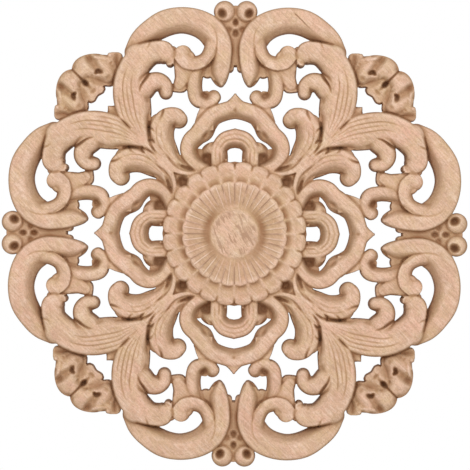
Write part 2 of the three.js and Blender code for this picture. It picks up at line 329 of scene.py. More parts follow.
BANDS = (
    Band(((43.2, 77.6, 4.3, 60), (40.4, 82.6, 4.8, 64), (36.0, 86.6, 5.2, 71), (30, 90.2, 5.5, 76),
          (23, 91.5, 5.45, 78), (16, 90.2, 5.7, 78), (10.6, 86.8, 5.9, 78), (7.3, 81, 5.6, 78),
          (6.5, 75, 4.8, 77), (6.9, 70, 4.3, 76), (6.6, 66.5, 2.9, 72), (6.2, 64.2, 1.2, 62)),
         Section.SCROLL),
    Band(((15.2, 71.5, 2.4, 58), (17.0, 67, 2.9, 66), (17.4, 62, 3.1, 68), (16.2, 58, 3.3, 68),
          (12.8, 56.0, 2.6, 66), (10.4, 56.8, 2.8, 66), (9.2, 58.6, 2.9, 64)), Section.HOOK, trench=4),
    Band(((21.6, 74.5, 4.6, 67), (21.9, 70.5, 4.2, 63), (22.6, 67.0, 3.3, 58), (23.5, 64.8, 2.8, 57),
          (24.0, 63.9, 2.5, 55)), trench=2),
    Band(((11.4, 86, 1.6, 60), (10.8, 79.5, 2.6, 78), (13, 74.9, 2.8, 78), (17, 73.1, 3.0, 77),
          (20.8, 74.0, 3.5, 77), (22.7, 76.4, 3.7, 78), (22.4, 77.0, 3.6, 77)), Section.VOLUTE, trench=2),
    Band(((-0.8, 53.7, 3.9, 68), (4.5, 52.5, 3.75, 68), (9.2, 50.5, 3.85, 68), (12.0, 47.2, 4.1, 68),
          (13.9, 44.3, 4.6, 68), (16.0, 42.3, 4.0, 68), (18.7, 39.7, 3.9, 68), (19.9, 36.2, 3.6, 68),
          (18.8, 32.4, 3.2, 68), (16, 29.6, 2.8, 68), (10.2, 27.2, 2.6, 66)), Section.OGEE, trench=5),
    Band(((0, 53.4, 1.0, 60), (0, 54.8, 5.0, 62), (0, 55.8, 4.9, 62), (0, 56.8, 3.4, 62),
          (0, 57.8, 2.2, 61), (0, 58.8, 1.3, 60), (0, 59.5, 0.6, 58)), pointed=True),
    Band(((-0.8, 41.3, 3.9, 64), (4, 40.0, 3.7, 64), (6.7, 36.6, 3.4, 65), (6.8, 33.4, 3.6, 66),
          (6.6, 27.0, 3.6, 66)), Section.ARCH, trench=4, veins=(Vein(-0.12, -0.1, 0.9, 0.16, 6.0),
         Vein(0.42, -0.1, 0.85, 0.14, 4.0))),
    Band(((7.0, 36.8, 2.8, 64), (10.4, 36.5, 2.5, 60), (12.4, 35.2, 2.0, 46), (12.7, 33.7, 1.4, 36)),
         Section.LOBE),
    Band(((57.9, 61.5, 1.75, 34), (60.3, 60.3, 1.9, 36))),
    Band(((59.6, 69.2, 4.4, 54), (59.6, 66.2, 4.4, 45), (59.9, 63.8, 3.5, 37), (60.8, 61.6, 2.4, 32)),
         Section.DOME),
    Band(((57.0, 61.9, 1.1, 34), (59.4, 62.7, 1.5, 39), (62.0, 63.4, 1.6, 45)), trench=3),
    Band(((54.6, 68.4, 4.2, 67), (58.0, 70.8, 5.5, 68), (61.6, 71.6, 5.1, 68), (64.8, 70.4, 5.0, 70),
          (66.6, 68.6, 3.4, 66)), Section.DOME),
    Ball(53.7, 76.2, 1.1, 52, 64),
    Band(((54.4, 74.6, 1.6, 58), (57.2, 74.7, 1.7, 64), (60.2, 75.0, 1.4, 66)), Section.DOME),
    Band(((17.6, 26.3, 0.9, 62), (21.5, 28.3, 1.7, 70), (25.3, 31.2, 2.6, 76), (28.7, 35.2, 4.2, 82),
          (31.2, 40, 5.0, 86), (31.4, 45, 5.2, 86), (29.3, 48.8, 4.7, 85), (26, 49.7, 4.3, 83),
          (24.2, 48.9, 3.6, 79)), Section.LOBE, trench=6, veins=(Vein(-0.42, 0.22, 0.88, 0.08, 5.0),
         Vein(0.0, 0.22, 0.76, 0.08, 4.5), Vein(-0.75, 0.3, 0.68, 0.08, 4.0))),
    Ball(32.4, 47.3, 4.1, 56, 84),
    Band(((27.4, 27.4, 1.6, 80), (29, 29, 2.4, 84), (31.6, 31.6, 3.2, 88), (35, 35, 3.4, 91),
          (39, 39, 2.6, 92), (43, 43, 1.6, 92)), veins=(Vein(0.28, 0.05, 0.98, 0.12, 3.5),
         Vein(0.7, 0.05, 0.98, 0.12, 4.0))),
    Band(((33.4, 34.0, 0.9, 84), (36.8, 38.4, 1.7, 90), (40.0, 43.4, 3.4, 94), (41.7, 47.2, 5.0, 96),
          (43.1, 51, 7.0, 96), (44.4, 58, 7.8, 95), (45.1, 64, 7.0, 94), (43.7, 70, 6.4, 92),
          (40.5, 74.7, 6.0, 90), (36, 77.2, 4.9, 87), (31.5, 77.8, 4.8, 84), (30.4, 77.2, 4.4, 82)),
         Section.LEAF, trench=6, veins=(Vein(-0.70, 0.08, 0.58, 0.055, 5.5),
         Vein(-0.44, 0.04, 0.76, 0.055, 6.0), Vein(-0.20, 0.02, 0.66, 0.055, 5.0),
         Vein(0.06, 0.02, 0.72, 0.055, 5.5), Vein(0.32, 0.02, 0.46, 0.055, 4.0))),
    Ball(42.0, 75.6, 5.5, 66, 91),
    Band(((43.6, 51, 2.4, 56), (42, 56, 3, 76), (39.6, 61.3, 4.6, 88), (36.5, 64.3, 4.2, 87),
          (33, 65, 3.95, 85), (30.5, 63.4, 3.4, 82), (29.8, 60.4, 2.75, 76)), Section.FOLD, trench=6),
    Band(((16.0, 25.6, 0.8, 64), (19.6, 25.6, 0.9, 70), (23.8, 26.5, 1.1, 78), (27.4, 28.4, 1.6, 84),
          (31, 31.8, 2.2, 88)), trench=3),
    Band(((48.8, 48.8, 1.2, 86), (50.6, 50.6, 1.8, 80), (52.2, 52.2, 2.0, 72)), Section.DOME),
    Band(((51.6, 52.8, 1.7, 74), (54.5, 52.9, 1.6, 80)), trench=5),
    Ball(0, 88.6, 1.8, 48, 57),
    Ball(4.7, 95.2, 4.5, 46, 78, trench=3),
)

SINKS = (
    Pit(5.7, 94.5, 2.4, 40, 1.25, 55),
    Pit(6.3, 93.4, 2.6, 12, 1.2, 40),
    Pit(0, 85.8, 1.9, 22, 1.2, 90),
    Pit(0, 90.6, 1.7, 24, 1.4, 90),
    Pit(2.7, 87.4, 1.5, 10, 1.4, 50),
    Pit(22.4, 22.4, 3.2, 30, 1.0, 0.0, 0.2),
    Pit(22.6, 28.6, 1.4, 14, 2.6, 35),
    Pit(12.3, 32.2, 2.4, 22, 1.2, 60, 0.1),
    Pit(58.4, 69.3, 1.35, 26, 1.7, 20),
    Pit(59.6, 68.8, 1.1, 22, 1.3, -50),
    Pit(58.0, 69.4, 2.6, 7, 1.5, 15),
    Pit(54.6, 66.6, 1.6, 7, 1.5, -60),
    Pit(64.3, 64.3, 1.6, 28, 1.35, 45, 0.1),
    Pit(63.1, 75.2, 2.4, 23, 1.4, 60),
    Pit(58.6, 65.4, 3.4, 9, 1.3, 30),
    Pit(61.1, 73.0, 3.0, 20, 1.5, 50),
    Pit(59.2, 70.8, 2.6, 10, 1.4, 35),
    Pit(66.6, 70.0, 2.0, 4, 1.3, 70),
    Pit(60.6, 61.0, 1.2, 8, 1.6, -60),
    Pit(12.7, 42.2, 1.5, 16, 2.0, -52),
    Pit(0, 53.0, 1.0, 6, 1.3, 90),
    Pit(0, 51.6, 3.0, 8, 1.5, 0),
    Pit(13.3, 59.3, 1.9, 14, 1.3, 10),
    Cut(((10.9, 90.2, 0.5, 2), (8.6, 86.6, 0.6, 4), (7.9, 82.5, 0.6, 4.5), (8.3, 79, 0.6, 5),
         (9.4, 76.4, 0.9, 8), (11.9, 72.4, 1.6, 12))),
    Cut(((61.4, 61.4, 0.8, 4), (63.4, 63.4, 1.2, 12), (65.6, 65.6, 0.9, 16), (67.2, 67.2, 0.7, 12),
         (70.0, 70.0, 0.8, 12))),
    Cut(((33.6, 34.2, 0.4, 5), (35.2, 36.4, 0.8, 12), (36.6, 39.6, 1.0, 16), (37.0, 43.6, 1.0, 17),
         (36.8, 47.6, 0.8, 12))),
    Cut(((36.3, 69.6, 0.8, 18), (38, 66.8, 0.9, 24), (40.2, 63.6, 0.7, 14), (41.2, 60.5, 0.4, 3))),
    Cut(((45.0, 45.0, 0.5, 8), (47.0, 47.0, 0.7, 14), (49.0, 49.0, 0.6, 4))),
    Cut(((36.6, 82.2, 0.8, 12), (37.2, 80.4, 0.6, 6), (38.4, 78.4, 0.4, 1))),
    Cut(((17.2, 26.9, 0.6, 8), (19.6, 27.7, 1.3, 28), (22.6, 29.0, 0.7, 10))),
    Cut(((50.9, 76.0, 1.5, 7), (50.9, 73.6, 1.8, 11), (50.2, 71.0, 1.0, 6))),
    Cut(((30.8, 52.8, 0.8, 18), (31.3, 50.8, 0.8, 11), (32.6, 48.6, 0.5, 3))),
    Cut(((37.0, 45.3, 0.8, 18), (35.4, 44.5, 0.7, 9), (34.2, 42.8, 0.4, 2))),
    Cut(((36.9, 39.8, 0.7, 16), (35.2, 39.8, 0.6, 8), (34.2, 38.6, 0.4, 2))),
    Cut(((31.8, 63.2, 0.6, 2), (32.4, 61.2, 0.8, 8), (32.8, 59.2, 0.8, 10))),
)


@dataclass(frozen=True)
class Centre:
    """The boss, the fluted dish and the ring of petals round it.

    Each pair is where a fade begins and ends, but the spoons' ring is where it lies and how wide it is.
    """

    petals: int = 24
    flutes: int = 48
    boss_radius: float = 10.6
    boss_edge: float = 88
    boss_rise: float = 10
    dish_radius: float = 22.6
    rim_notch: float = 21.0
    petal_tip: float = 30.9
    petal_notch: float = 29.0
    crest: float = 95.0
    trench: float = 2.5
    petal_crown: Profile = ((21.0, 23.0, 25.0, 27.5, 29.4, 31.0), (90, 88, 85, 83, 80, 70))
    cove: Profile = ((10.3, 11.6, 13.0, 15.0, 18.0, 20.6, 21.8, 22.4), (88, 86, 88, 92, 95, 97, 97, 94))
    scoop_depth: float = 7.5
    scoop_half: float = 0.66
    scoop_end: Pair = (0.6, 3.6)
    spoon_depth: float = 4.0
    spoon_half: float = 0.5
    spoon_ring: Pair = (26.8, 1.4)
    seam_half: float = 0.24
    seam_rise: float = 3.0
    seam_rise_end: Pair = (26.0, 27.5)
    seam_depth: float = 9.0
    seam_cut: Pair = (26.5, 29.0)
    rib_rise: float = 4.5
    rib_start: float = 0.74
    rib_width: float = 0.26
    flute_depth: float = 3.0
    flutes_in: Pair = (10.6, 14.0)
    flutes_out: Pair = (19.5, 22.0)

    def lay(self, x: Grid, y: Grid) -> tuple[Grid, Grid, Grid, Grid]:
        """Lays the centre over the face.

        Args:
            x: Places across.
            y: Places up.

        Returns:
            The places it touches, how far each lies inside its edge, its height there and its crest.
        """
        r = np.hypot(x, y)
        touched = np.flatnonzero(r < self.petal_tip + MARGIN)
        x, y, r = x[touched], y[touched], r[touched]
        turn = np.degrees(np.arctan2(x, y))
        pitch = 360.0 / self.petals
        lobe = ((turn / pitch) % 1.0 - 0.5) * 2.0
        bulge = np.sqrt(np.clip(1.0 - lobe**2, 0.0, 1.0))
        tip = self.petal_notch + (self.petal_tip - self.petal_notch) * bulge
        rim = self.rim_notch + (self.dish_radius - self.rim_notch) * bulge
        scoop = self.scoop_depth * np.exp(-((lobe / self.scoop_half) ** 4))
        scoop = scoop * (1.0 - ease(*self.scoop_end, r - rim))
        spoon = self.spoon_depth * bell(lobe, 0.0, self.spoon_half) * bell(r, *self.spoon_ring)
        seam = np.clip(1.0 - (1.0 - np.abs(lobe)) / self.seam_half, 0.0, 1.0)
        lip = self.seam_rise * seam * (1.0 - ease(*self.seam_rise_end, r))
        petal = np.interp(r, *self.petal_crown) - scoop - spoon + lip
        petal = petal - self.seam_depth * seam**2 * ease(*self.seam_cut, r)
        phase = np.abs(((turn * self.flutes / 360.0) % 1.0) - 0.5) * 2.0
        rib = self.rib_rise * np.clip((phase - self.rib_start) / self.rib_width, 0.0, 1.0)
        rib = rib - self.flute_depth * (1.0 - phase**4)
        dish = np.interp(r, *self.cove) + rib * ease(*self.flutes_in, r) * (1.0 - 0.5 * ease(*self.flutes_out, r))
        height = np.where(r < rim, dish, petal)
        dome = self.boss_edge + self.boss_rise * np.sqrt(np.clip(1.0 - (r / self.boss_radius) ** 2, 0.0, 1.0))
        height = np.where(r < self.boss_radius, dome, height)
        return touched, tip - r, height, np.full(r.shape, self.crest)


@dataclass
class Relief:
    """The carved face on a square lattice: one eighth worked out, then folded round."""

    step: float = 0.2
    reach: float = 101.0
    outside: float = -9.0
    bare: float = -30.0
    lowest: float = 6.0
    lowest_wall: float = 2.5
    wall_reach: float = 3.2
    lean: float = 3500.0
    draw_in: float = 0.3
    swell: float = 0.18
    trench_edge: Pair = (-0.9, 0.0)
    trench_rise: Pair = (-2.0, 6.0)
    edge_blur: float = 0.8
    ways: int = 16
    gaps: tuple[float, ...] = (0.6, 1.2, 2.0, 3.0, 4.5, 6.5)
    groove_blur: float = 2.5
    groove_rise: float = 9.0
    groove_most: float = 0.6
    ridge_blur: float = 5.0
    ridge_rise: float = 12.0
    side_shades: tuple[tuple[float, float, float], ...] = ((12.0, 1.5, 0.78), (23.4, 1.0, 0.36))
    rim_light: float = 0.20
    rim_ring: Pair = (21.9, 0.8)
    margin: Grid = field(init=False)
    height: Grid = field(init=False)
    hollow_shade: Grid = field(init=False)
    ridge_light_shade: Grid = field(init=False)

    def carve(self) -> None:
        """Works out the outline, the heights and the tone of the whole face."""
        count = int(round(self.reach / self.step))
        i, j = np.meshgrid(np.arange(count + 1), np.arange(count + 1), indexing="ij")
        wedge = np.flatnonzero((j >= i).ravel() & (np.hypot(i, j).ravel() * self.step < self.reach))
        margin, height = self._stack(i.ravel()[wedge] * self.step, j.ravel()[wedge] * self.step)
        self.margin = self._round(wedge, margin, self.outside, count)
        self.height = self._round(wedge, height, self.bare, count)
        self._widen_inward()
        self._blend_edges()
        self._lean_walls()
        self._shade()

    def _round(self, wedge: Grid, values: Grid, elsewhere: float, count: int) -> Grid:
        """Folds an eighth over the whole face.

        Args:
            wedge: The numbers of the eighth's places in the first quarter.
            values: Their values.
            elsewhere: The value of the places past the rim.
            count: Cells from the middle to the rim.

        Returns:
            The values for every place.
        """
        eighth = np.full((count + 1) ** 2, elsewhere)
        eighth[wedge] = values
        away = np.abs(np.arange(-count, count + 1))
        i, j = np.meshgrid(away, away, indexing="ij")
        return eighth.reshape(count + 1, count + 1)[np.minimum(i, j), np.maximum(i, j)]

    def _stack(self, x: Grid, y: Grid) -> tuple[Grid, Grid]:
        """Lays the members over each other in order and sinks the cuts.

        Args:
            x: Places across.
            y: Places up.

        Returns:
            How far each place lies inside the outline, and its height.
        """
        margin = np.full(x.shape, self.outside)
        height = np.zeros(x.shape)
        for member in (*WEBS, *BANDS, Centre()):
            touched, inside, level, crest = member.lay(x, y)
            below, known = height[touched], margin[touched]
            sunk = member.trench * ease(*self.trench_edge, inside) * ease(*self.trench_rise, crest - below)
            below = below - sunk
            if isinstance(member, Centre):
                below = np.where(inside > 0, 0.0, below)
            inner = np.where(inside > 0, np.maximum(level, below), below)
            outer = np.where(inside > known, level, height[touched])
            height[touched] = np.where((inside > 0) | (known > 0), inner, outer)
            margin[touched] = np.maximum(known, inside)
        for sink in SINKS:
            height -= sink.sink(x, y) * (margin > -MARGIN)
        return margin, np.where(margin > -MARGIN, np.maximum(height, self.lowest), self.bare)

    def _widen_inward(self) -> None:
        """Moves the outline out by a hair, and further wherever it faces the middle."""
        x, y, r = self._places()
        slope_x, slope_y = np.gradient(self.margin, self.step)
        facing = softened(np.clip((slope_x * x + slope_y * y) / r, -0.5, 1.0), 1.5)
        self.margin = self.margin + (self.swell + self.draw_in * facing) * (self.margin > -MARGIN)

    def _places(self) -> tuple[Grid, Grid, Grid]:
        """Gives x, y and the distance from the middle for the whole lattice."""
        count = (self.height.shape[0] - 1) // 2
        away = np.arange(-count, count + 1) * self.step
        x, y = np.meshgrid(away, away, indexing="ij")
        return x, y, np.maximum(np.hypot(x, y), 1.0)

    def _mean_height(self, known: Grid, sigma: float) -> Grid:
        """Blurs the heights by so many cells, counting only the places that are known."""
        return softened(self.height * known, sigma) / np.maximum(softened(known, sigma), 1e-3)

    def _blend_edges(self) -> None:
        """Takes the raster's jaggedness off the heights, without drawing the openings in."""
        known = (self.margin > -MARGIN).astype(float)
        self.height = np.where(known > 0, self._mean_height(known, self.edge_blur), self.bare)

    def _lean_walls(self) -> None:
        """Gives the walls that face the middle the lean of the cutter, more of it further out."""
        x, y, r = self._places()
        floor = np.where(self.margin > 0, self.height, 0.0)
        lowest = self.height
        for gap in np.arange(self.step, self.wall_reach, self.step):
            inward = 1.0 - gap / r
            lowest = np.minimum(lowest, self.read(floor, x * inward, y * inward) + gap * self.lean / r)
        self.height = np.where(self.margin > -MARGIN, np.maximum(lowest, self.lowest_wall), self.bare)

    def _shade(self) -> None:
        """Works out painted shade for enclosed places, and how far each stands proud of what lies round it."""
        rise = np.where(self.margin > 0, self.height, self.bare) * RISE_PER_REACH
        hidden = np.zeros(rise.shape)
        for k in range(self.ways):
            c, s = (wave(2 * math.pi * k / self.ways) for wave in (math.cos, math.sin))
            horizon = np.zeros(rise.shape)
            for gap in self.gaps:
                shift = int(round(c * gap / self.step)), int(round(s * gap / self.step))
                horizon = np.maximum(horizon, (np.roll(rise, shift, (0, 1)) - rise) / gap)
            hidden += horizon / np.sqrt(1.0 + horizon**2)
        inside = (self.margin > 0).astype(float)
        near = self._mean_height(inside, self.groove_blur)
        groove = np.clip((near - self.height) / self.groove_rise, 0.0, self.groove_most) * inside
        x, _, r = self._places()
        # painted shade darker left and right of the boss and at the petals' foot, and painted light on the dish
        # rim
        sides = sum(bell(r, middle, width) * share for middle, width, share in self.side_shades) * (x / r) ** 2
        lit = self.rim_light * bell(r, *self.rim_ring)
        self.hollow_shade = softened(hidden / self.ways, 1.0) + softened(groove, 0.7) + sides - lit
        # how far each place stands proud, kept for painted highlights on ridges and painted shade in dips
        around = self._mean_height(inside, self.ridge_blur)
        self.ridge_light_shade = np.clip((self.height - around) / self.ridge_rise, -1.0, 1.0)

    def inside(self, x: Grid, y: Grid) -> Grid:
        """Reads how far places lie inside the outline."""
        return self.read(self.margin, x, y)

    def read(self, grid: Grid, x: Grid, y: Grid) -> Grid:
        """Reads a grid between its points.

        Args:
            grid: The values.
            x: Places across.
            y: Places up.

        Returns:
            The value at each place.
        """
        count = (grid.shape[0] - 1) // 2
        u = np.clip(x / self.step + count, 0, 2 * count - 1e-6)
        v = np.clip(y / self.step + count, 0, 2 * count - 1e-6)
        i, j = u.astype(int), v.astype(int)
        a, b = u - i, v - j
        low = grid[i, j] * (1 - a) + grid[i + 1, j] * a
        high = grid[i, j + 1] * (1 - a) + grid[i + 1, j + 1] * a
        return low * (1 - b) + high * b


# Shader nodes


def feed(tree: bpy.types.NodeTree, socket: Socket, given: object) -> None:
    """Links a socket to a wrapped value or another socket, or sets it to a plain value."""
    if isinstance(given, Value):
        given = given.socket
    if isinstance(given, Socket):
        tree.links.new(given, socket)
    else:
        socket.default_value = given


class Value:
    """A socket that takes part in sums, so that shader maths reads as maths."""

    def __init__(self, tree: bpy.types.NodeTree, socket: Socket) -> None:
        """Wraps a socket of a node tree."""
        self.tree = tree
        self.socket = socket

    def _math(self, operation: str, *terms: "Value | float") -> "Value":
        """Adds one Math node with these inputs and wraps its result."""
        node = self.tree.nodes.new("ShaderNodeMath")
        node.operation = operation
        for socket, term in zip(node.inputs, terms):
            feed(self.tree, socket, term)
        return Value(self.tree, node.outputs[0])

    def __add__(self, other: "Value | float") -> "Value":
        """The sum."""
        return self._math("ADD", self, other)

    __radd__ = __add__

    def __mul__(self, other: "Value | float") -> "Value":
        """The product."""
        return self._math("MULTIPLY", self, other)

    __rmul__ = __mul__

    def __sub__(self, other: "Value | float") -> "Value":
        """The difference."""
        return self._math("SUBTRACT", self, other)

    def __rsub__(self, other: "Value | float") -> "Value":
        """The difference, with this value taken away."""
        return self._math("SUBTRACT", other, self)

    def __abs__(self) -> "Value":
        """The size without its sign."""
        return self._math("ABSOLUTE", self)

    def clamped(self) -> "Value":
        """The value held between 0 and 1."""
        return self._math("MINIMUM", self._math("MAXIMUM", self, 0.0), 1.0)

    def root(self) -> "Value":
        """The square root."""
        return self._math("SQRT", self)

    def fraction(self) -> "Value":
        """What is left of the value past its whole part."""
        return self._math("FRACT", self)

    def turn(self, other: "Value") -> "Value":
        """The angle of the line with this value across and the other up, in radians."""
        return self._math("ARCTAN2", self, other)

    def wave(self) -> "Value":
        """A smooth wave of the value, 0 to 1."""
        return self._math("SINE", self) * 0.5 + 0.5

    def between(self, low: float, high: float) -> "Value":
        """The share of the way from low to high, clamped."""
        return ((self - low) * (1.0 / (high - low))).clamped()

    def within(self, rise: Pair, fall: Pair) -> "Value":
        """1 after the rise and before the fall, 0 outside both."""
        return self.between(*rise) * (1.0 - self.between(*fall))

    def peak(self, middle: float, half: float) -> "Value":
        """1 in the middle, falling to 0 at the half width to each side."""
        return (1.0 - abs(self - middle) * (1.0 / half)).clamped()


class Finish:
    """A material under construction."""

    def __init__(self, name: str) -> None:
        """Starts an empty material of this name."""
        self.material = bpy.data.materials.new(name)
        self.material.use_nodes = True
        self.tree = self.material.node_tree
        self.tree.nodes.clear()

    def node(self, kind: str, inputs: dict | None = None, **settings: object) -> bpy.types.Node:
        """Adds a node.

        Args:
            kind: The node's type.
            inputs: Values, links or wrapped values for its sockets, by name.
            settings: Its own settings, set first.

        Returns:
            The node.
        """
        node = self.tree.nodes.new(kind)
        for name, setting in settings.items():
            setattr(node, name, setting)
        for name, given in (inputs or {}).items():
            feed(self.tree, node.inputs[name], given)
        return node

    def value(self, node: bpy.types.Node, output: str) -> Value:
        """Wraps a node's output."""
        return Value(self.tree, node.outputs[output])

    def noise(
        self, place: Socket, scale: float, detail: float = 2.0, rough: float = 0.5, bend: float = 0.0
    ) -> Value:
        """Adds a noise pattern.

        Args:
            place: Where it is read.
            scale: How many lumps a metre.
            detail: How many finer layers it has.
            rough: How strong the finer layers are.
            bend: How far it is swirled.

        Returns:
            The pattern, 0 to 1.
        """
        inputs = {"Vector": place, "Scale": scale, "Detail": detail, "Roughness": rough, "Distortion": bend}
        return self.value(self.node("ShaderNodeTexNoise", inputs), "Fac")

    def slanted(self, place: Socket, slant: float, squash: float) -> Socket:
        """Turns the place by so many degrees in the face and squashes it, which draws patterns out."""
        rotation = (0.0, math.radians(slant), 0.0)
        turned = self.node("ShaderNodeMapping", {"Vector": place, "Rotation": rotation}).outputs[0]
        return self.node("ShaderNodeMapping", {"Vector": turned, "Scale": (squash, 1.0, 1.0)}).outputs[0]

    def mix(self, share: Value, under: object, over: Colour) -> Socket:
        """Mixes a share of a colour over another colour or a socket, and gives the mixed colour's socket."""
        node = self.node("ShaderNodeMix", data_type="RGBA")
        sockets = [s for s in node.inputs if s.enabled]
        for socket, given in zip(sockets, (share, under, over)):
            feed(self.tree, socket, (*given, 1.0) if isinstance(given, tuple) else given)
        return next(s for s in node.outputs if s.enabled)

    def surface(self, inputs: dict) -> bpy.types.Material:
        """Ends the material with a shader that takes these inputs."""
        shader = self.node("ShaderNodeBsdfPrincipled", inputs)
        self.node("ShaderNodeOutputMaterial", {"Surface": shader.outputs[0]})
        return self.material


@dataclass(frozen=True)
class RawWood:
    """Unpainted pale wood as the cutter left it: slanting fibres, rings, tool lines, painted shade and highlights.

    Fibres and strokes are a slant in degrees and a squash along it. Each other pair is where a fade begins and
    ends: on the boss, dish and petals in hundredths of the radius, on the crack and behind the face in metres.
    """

    light: Colour = (0.67, 0.455, 0.31)
    pink: Colour = (0.70, 0.42, 0.305)
    straw: Colour = (0.61, 0.425, 0.245)
    # chalk: whitish dust and pale fibres, also the painted highlight on ridges and flute ribs
    chalk_and_highlight: Colour = (0.88, 0.70, 0.57)
    grain: Colour = (0.36, 0.205, 0.125)
    # brown: browner petals at random, also the painted shade in dips
    brown_tone_and_shade: Colour = (0.46, 0.26, 0.14)
    # olive: painted shade colour for enclosed places
    olive_shade: Colour = (0.46, 0.30, 0.135)
    # deep: the dark of pores and the crack, also the painted shade in hollows, beside flute ribs and in seams
    dark_wood_and_shade: Colour = (0.27, 0.12, 0.05)
    # edge: painted shade on the walls along the outline
    edge: Colour = (0.23, 0.16, 0.12)
    roughness: float = 0.74
    bump_depth: float = 0.0005
    fibres: Pair = (-45, 0.10)
    strokes: Pair = (-63, 0.22)
    tool_squash: float = 0.12
    face: Pair = (0.003, 0.006)
    boss_rim: Pair = (9.0, 10.4)
    dish_inner: Pair = (11.2, 13.5)
    dish_outer: Pair = (21.2, 22.0)
    petals_inner: Pair = (22.6, 23.6)
    petals_outer: Pair = (30.5, 31.5)
    edge_shade_width: float = 0.4
    crack_line: float = 0.1272
    crack_half: float = 0.0005
    crack_waver: float = 0.0012
    crack_start: Pair = (-0.0746, -0.0726)
    crack_end: Pair = (-0.0650, -0.0556)

    def material(self) -> bpy.types.Material:
        """Builds the material.

        Returns:
            The material, read from Object coordinates, the piece's painted shade and light, and its inset.
        """
        finish = Finish(SLOT)
        place = finish.node("ShaderNodeTexCoord").outputs["Object"]
        hollow_shade, ridge_light_shade, inset = (
            finish.value(finish.node("ShaderNodeAttribute", attribute_name=name), "Fac")
            for name in ("hollow_shade", "ridge_light_shade", "inset")
        )
        spot = finish.node("ShaderNodeSeparateXYZ", {"Vector": place})
        x, depth, z = (finish.value(spot, axis) for axis in "XYZ")
        beside_edge = {"X": x * self.tool_squash, "Y": inset * HUNDREDTH, "Z": z * self.tool_squash}
        follow = finish.node("ShaderNodeCombineXYZ", beside_edge).outputs[0]
        fibre = finish.slanted(place, *self.fibres)

        blotch = finish.noise(place, 22.0, 6.0, 0.72)
        warmth = finish.noise(place, 60.0, 6.0, 0.78)
        dust = finish.noise(place, 110.0, 4.0, 0.6)
        chalky = finish.noise(place, 70.0, 3.0, 0.6)
        patchy = finish.noise(place, 90.0).between(0.2, 0.8) * 0.7 + 0.62
        strands = finish.noise(fibre, 620.0, 4.0, 0.65)
        pores = finish.noise(fibre, 1500.0)
        pale = finish.noise(fibre, 1150.0)
        speckle = finish.noise(place, 950.0, 2.0, 0.7)
        tool = finish.noise(follow, 900.0, 2.0, 0.6)
        strokes = finish.noise(finish.slanted(place, *self.strokes), 480.0, 2.0, 0.6, 0.5)
        rings = ((depth * 620.0 + (x + z) * 55.0 + finish.noise(place, 18.0) * 9.0) * 2.0).wave()

        away = (x * x + z * z).root() * (1.0 / HUNDREDTH)
        in_flute, in_petal = (
            (x.turn(z) * (count / (2.0 * math.pi))).fraction() for count in (Centre.flutes, Centre.petals)
        )
        face = (depth * -1.0).between(*self.face)
        boss = face * (1.0 - away.between(*self.boss_rim))
        petals = face * away.within(self.petals_inner, self.petals_outer)
        dish = face * away.within(self.dish_inner, self.dish_outer)
        dish = dish * finish.noise(place, 130.0).between(0.30, 0.55)
        # where the flutes get painted shade beside their ribs and a painted highlight on them, and the seams
        # painted shade
        rib_side_shade = (in_flute.peak(0.20, 0.16) + in_flute.peak(0.84, 0.12) * 0.5).clamped()
        rib_highlight = in_flute.peak(0.03, 0.11)
        seam = abs(in_petal - 0.5).between(0.43, 0.47)
        along, across = (x - z) * math.sqrt(0.5), (x + z) * math.sqrt(0.5)
        waver = (finish.noise(place, 240.0) - 0.5) * self.crack_waver
        crack = (1.3 - abs(across + waver - self.crack_line) * (1.0 / self.crack_half)).clamped()
        crack = face * crack * along.within(self.crack_start, self.crack_end)

        colour = finish.mix(blotch.between(0.35, 0.65), self.pink, self.light)
        for share, tint in (
            (warmth.between(0.45, 0.66) * 0.9, self.straw),
            (dust.between(0.52, 0.72) * (1.0 - hollow_shade.between(0.0, 0.35)) * 0.5, self.chalk_and_highlight),
            (rings * rings * 0.13, self.grain),
            (strands.between(0.46, 0.68) * 0.44, self.grain),
            (tool.between(0.54, 0.72) * 0.34, self.grain),
            (speckle.between(0.44, 0.66) * 0.42, self.grain),
            (pores.between(0.70, 0.78) * 0.5, self.dark_wood_and_shade),
            (pale.between(0.50, 0.72) * 0.30, self.chalk_and_highlight),
            (boss * strokes.between(0.52, 0.60) * 0.75, self.grain),
            ((petals + boss * 0.6) * chalky.between(0.50, 0.64) * 0.12, self.chalk_and_highlight),
            (petals * (1.0 - chalky.between(0.40, 0.60)) * 0.16, self.brown_tone_and_shade),
            # painted shade beside the flute ribs, painted highlight on the ribs over paler patches, painted shade
            # in the petal seams
            (dish * rib_side_shade * 0.40, self.dark_wood_and_shade),
            (dish * (rib_highlight * 0.65 + 0.15), self.chalk_and_highlight),
            (dish * seam * 0.85, self.dark_wood_and_shade),
            # painted shade along the outline, on the walls, except in the dish
            ((1.0 - inset * (1.0 / self.edge_shade_width)).clamped() * (1.0 - dish) * 0.42, self.edge),
            # painted highlight on proud places, painted shade in dips
            (ridge_light_shade.clamped() * 0.34, self.chalk_and_highlight),
            ((ridge_light_shade * -1.0).clamped() * 0.30, self.brown_tone_and_shade),
            # painted shade: olive, then dark brown in patches, where the face is enclosed or grooved
            (hollow_shade.between(0.08, 0.42) * 0.34, self.olive_shade),
            ((hollow_shade.between(0.22, 0.88) * patchy * 0.80).clamped(), self.dark_wood_and_shade),
            (crack * 0.85, self.dark_wood_and_shade),
        ):
            colour = finish.mix(share, colour, tint)
        height = strands * 0.4 + tool * 0.5 + speckle * 0.3 - pores.between(0.68, 0.78) * 0.3
        height = height - boss * strokes * 1.2 - crack * 2.0
        bump = finish.node("ShaderNodeBump", {"Strength": 0.35, "Distance": self.bump_depth, "Height": height})
        return finish.surface({
            "Base Color": colour, "Roughness": self.roughness, "Specular IOR Level": 0.3,
            "Normal": bump.outputs[0],
        })


# The rosette


def read_spots(piece: Piece) -> Grid:
    """Reads a piece's vertices."""
    spots = np.empty(len(piece.data.vertices) * 3)
    piece.data.vertices.foreach_get("co", spots)
    return spots.reshape(-1, 3)


def set_spots(piece: Piece, spots: Grid) -> None:
    """Moves a piece's vertices to these spots."""
    piece.data.vertices.foreach_set("co", spots.ravel())


